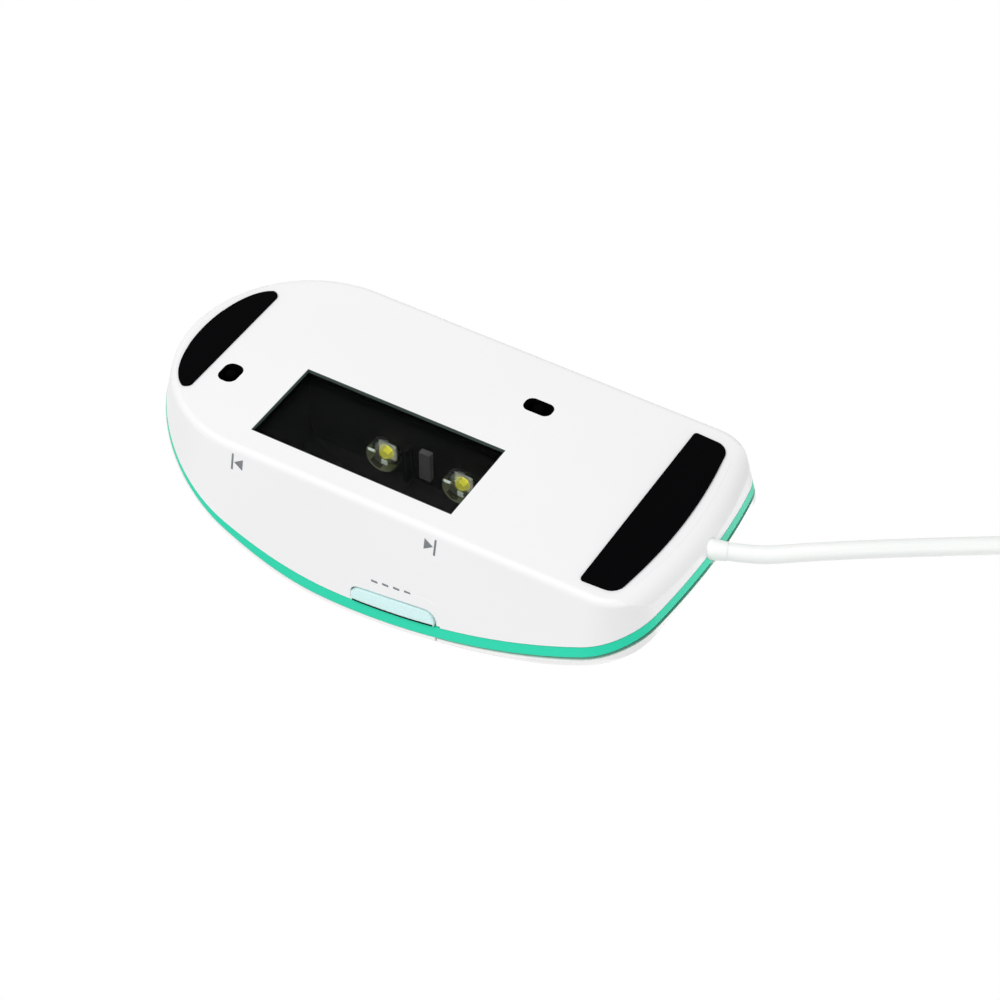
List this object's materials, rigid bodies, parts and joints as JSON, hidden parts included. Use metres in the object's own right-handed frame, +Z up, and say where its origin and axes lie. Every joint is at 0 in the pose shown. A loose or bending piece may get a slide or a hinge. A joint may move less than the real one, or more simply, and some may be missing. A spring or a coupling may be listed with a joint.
{
  "type": "scanning mouse",
  "caption": "Corded desktop mouse with a glass scan window in its underside, two press keys, a scroll wheel that turns and presses, and a scan button on the thumb side.",
  "frame": {"origin": "on the surface under the mouse, at the middle of the mouse's own length and width, lead left out", "axes": "+X to the thumb side with the scan button, +Y to the palm end, +Z up; the lead leaves at -Y"},
  "size_m": [0.0808, 0.2511, 0.038],
  "materials": {
    "shell_white": "white gloss moulding",
    "band_turquoise": "turquoise gloss moulding",
    "inner_black": "matt black moulding",
    "inner_grey": "grey moulding",
    "tyre_grey": "soft grey rubber",
    "board_green": "green circuit board",
    "chip_black": "black chip package",
    "window_dark": "clear glass over a dark box",
    "lens_clear": "clear moulded lens",
    "lamp_white": "white lamp package",
    "phosphor_yellow": "yellow lamp coating",
    "button_aqua": "translucent pale turquoise",
    "foot_black": "black sliding foot",
    "screw_steel": "plated steel",
    "cord_white": "white flexible jacket",
    "contact_gold": "gold-plated contact",
    "tongue_black": "black plug tongue",
    "flex_amber": "amber flat lead"
  },
  "bodies": {
    "body": {"bottom_shell": "shell_white", "accent_band": "band_turquoise", "palm_cover": "shell_white", "key_frame": "inner_grey", "wheel_emitter": "lens_clear", "wheel_detector": "chip_black", "wheel_switch": "chip_black", "left_switch": "chip_black", "right_switch": "chip_black", "main_board": "board_green", "window_glass": "window_dark", "light_box": "inner_black", "lamp_board": "board_green", "lamps": "lamp_white", "lamp_domes": "phosphor_yellow", "lamp_lenses": "lens_clear", "camera_barrel": "inner_black", "camera_lens": "lens_clear", "camera_holder": "inner_black", "camera_chip": "chip_black", "camera_board": "board_green", "camera_screws": "screw_steel", "camera_ribbon": "flex_amber", "ribbon_socket": "lamp_white", "front_tracker": "chip_black", "rear_tracker": "chip_black", "front_tracker_lens": "lens_clear", "rear_tracker_lens": "lens_clear", "tracker_lamps": "lens_clear", "image_processor": "chip_black", "memory_chip": "chip_black", "timing_crystal": "screw_steel", "scan_board": "board_green", "scan_switch": "chip_black", "scan_light": "lamp_white", "front_foot": "foot_black", "rear_foot": "foot_black", "shell_screws": "screw_steel", "board_screws": "screw_steel", "cable_gland": "cord_white", "inner_lead": "cord_white", "cable_socket": "lamp_white", "cord": "cord_white", "cord_coil": "cord_white", "coil_tie": "inner_black", "cord_tail": "cord_white", "plug_body": "cord_white", "plug_shell": "screw_steel", "plug_tongue": "tongue_black", "plug_contacts": "contact_gold"},
    "left_button": {"left_button": "shell_white"},
    "right_button": {"right_button": "shell_white"},
    "wheel_carrier": {"wheel_carrier": "inner_grey"},
    "wheel": {"wheel_tyre": "tyre_grey", "wheel_hub": "inner_grey"},
    "scan_button": {"scan_button": "button_aqua"}
  },
  "joints": [
    {"name": "left_press", "type": "hinge", "parent": "body", "child": "left_button", "pos_m": [0.013, -0.0175, 0.02945], "axis": [1, 0, 0], "range_deg": [0, 0.8], "stiffness_Nm_per_rad": 0.5, "springref_deg": -0.57},
    {"name": "right_press", "type": "hinge", "parent": "body", "child": "right_button", "pos_m": [-0.013, -0.0175, 0.02945], "axis": [1, 0, 0], "range_deg": [0, 0.8], "stiffness_Nm_per_rad": 0.5, "springref_deg": -0.57},
    {"name": "wheel_press", "type": "slide", "parent": "body", "child": "wheel_carrier", "axis": [0, 0, -1], "range_m": [0, 0.0005], "stiffness_N_per_m": 1500, "springref_m": -0.0003},
    {"name": "wheel_spin", "type": "hinge", "parent": "wheel_carrier", "child": "wheel", "pos_m": [0, -0.033, 0.02246], "axis": [1, 0, 0], "continuous": true},
    {"name": "scan_press", "type": "slide", "parent": "body", "child": "scan_button", "axis": [-1, 0, 0], "range_m": [0, 0.0008], "stiffness_N_per_m": 1200, "springref_m": -0.0003}
  ]
}
